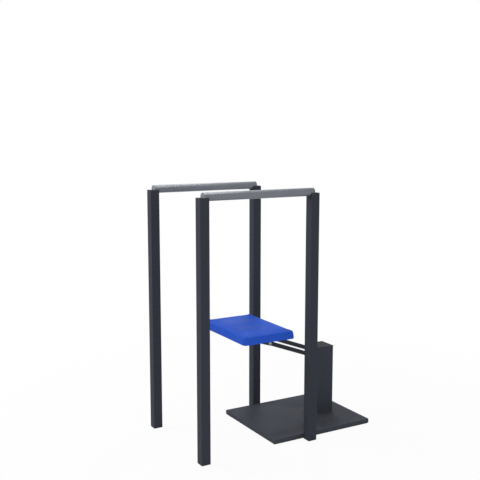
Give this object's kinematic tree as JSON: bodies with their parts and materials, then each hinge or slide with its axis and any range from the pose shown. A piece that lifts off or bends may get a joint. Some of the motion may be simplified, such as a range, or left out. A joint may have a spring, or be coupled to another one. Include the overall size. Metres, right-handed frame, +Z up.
{
  "type": "assisted dip machine",
  "caption": "Dip stand with two round grip rails on square posts and a sprung, level-moving kneeling pad carried from a square column on a base plate.",
  "frame": {"origin": "middle of the machine's footprint, on the floor", "axes": "+Z up; -Y is the way the user faces, with the column and base plate at +Y; X runs from the left rail to the right rail"},
  "size_m": [0.5976, 1.023, 1.274],
  "materials": {
    "frame_paint": "charcoal powder coat",
    "rail_steel": "satin bright steel tube",
    "pad_vinyl": "blue upholstery vinyl over foam",
    "black_rubber": "moulded black rubber",
    "plug_plastic": "moulded grey plastic",
    "zinc_steel": "zinc-plated steel",
    "spring_steel": "oiled spring steel",
    "bronze": "sintered bronze",
    "plywood": "birch plywood",
    "wheel_iron": "black enamelled cast iron with a ribbed rim"
  },
  "bodies": {
    "frame": {"front_left_post": "frame_paint", "front_right_post": "frame_paint", "rear_left_post": "frame_paint", "rear_right_post": "frame_paint", "front_left_saddle": "frame_paint", "front_right_saddle": "frame_paint", "rear_left_saddle": "frame_paint", "rear_right_saddle": "frame_paint", "front_left_foot": "black_rubber", "front_right_foot": "black_rubber", "rear_left_foot": "black_rubber", "rear_right_foot": "black_rubber", "front_left_rail_screw": "zinc_steel", "front_right_rail_screw": "zinc_steel", "rear_left_rail_screw": "zinc_steel", "rear_right_rail_screw": "zinc_steel", "front_left_rail_plug": "plug_plastic", "front_right_rail_plug": "plug_plastic", "rear_left_rail_plug": "plug_plastic", "rear_right_rail_plug": "plug_plastic", "left_rail": "rail_steel", "right_rail": "rail_steel", "rear_left_frame_bolt": "frame_paint", "rear_right_frame_bolt": "frame_paint", "base_plate": "frame_paint", "base_mat": "black_rubber", "left_column_bolt": "zinc_steel", "right_column_bolt": "zinc_steel", "column_shell": "frame_paint", "column_cap": "frame_paint", "column_foot": "frame_paint", "mechanism_deck": "frame_paint", "left_mast": "frame_paint", "right_mast": "frame_paint", "stop_bar": "frame_paint", "down_buffer": "black_rubber", "up_buffer": "black_rubber", "lower_pivot_pin": "zinc_steel", "upper_pivot_pin": "zinc_steel", "thrust_washer": "bronze", "left_spring": "spring_steel", "right_spring": "spring_steel"},
    "lower_arm": {"lower_arm": "frame_paint", "lower_bush": "bronze", "crank_pin": "zinc_steel"},
    "upper_arm": {"upper_arm": "frame_paint", "upper_bush": "bronze"},
    "pad_carrier": {"pad_bracket": "frame_paint", "lower_link_pin": "zinc_steel", "upper_link_pin": "zinc_steel", "pad_board": "plywood", "knee_pad": "pad_vinyl", "front_left_pad_screw": "zinc_steel", "front_right_pad_screw": "zinc_steel", "rear_left_pad_screw": "zinc_steel", "rear_right_pad_screw": "zinc_steel"},
    "spring_yoke": {"spring_yoke": "zinc_steel"},
    "anchor_carriage": {"anchor_carriage": "zinc_steel"},
    "tensioner": {"tension_screw": "zinc_steel", "thumb_wheel": "wheel_iron"}
  },
  "joints": [
    {"name": "arm_hinge", "type": "hinge", "parent": "frame", "child": "lower_arm", "pos_m": [0, 0.3395, 0.3316], "axis": [1, 0, 0], "range_deg": [0, 50], "stiffness_Nm_per_rad": 80, "springref_deg": -53.86, "deforming": ["left_spring", "right_spring"]},
    {"name": "upper_arm_hinge", "type": "hinge", "parent": "frame", "child": "upper_arm", "pos_m": [0, 0.3395, 0.3636], "axis": [1, 0, 0], "range_deg": [0, 50]},
    {"name": "carrier_hinge", "type": "hinge", "parent": "lower_arm", "child": "pad_carrier", "pos_m": [0, 0.0285, 0.45], "axis": [1, 0, 0], "range_deg": [-50, 0]},
    {"name": "yoke_slide", "type": "slide", "parent": "frame", "child": "spring_yoke", "axis": [0, 0, 1], "range_m": [0, 0.0405]},
    {"name": "wheel_turn", "type": "hinge", "parent": "frame", "child": "tensioner", "pos_m": [0, 0.3835, 0.066], "axis": [0, 0, -1], "range_deg": [0, 1800]},
    {"name": "carriage_slide", "type": "slide", "parent": "frame", "child": "anchor_carriage", "axis": [0, 0, 1], "range_m": [0, 0.0201], "deforming": ["left_spring", "right_spring"]}
  ],
  "couplings": [
    {"joint": "upper_arm_hinge", "follows": "arm_hinge", "ratio": 1},
    {"joint": "carrier_hinge", "follows": "arm_hinge", "ratio": -1},
    {"joint": "yoke_slide", "follows": "arm_hinge", "m_per_rad": 0.045837},
    {"joint": "carriage_slide", "follows": "wheel_turn", "m_per_rad": 0.00063662}
  ]
}
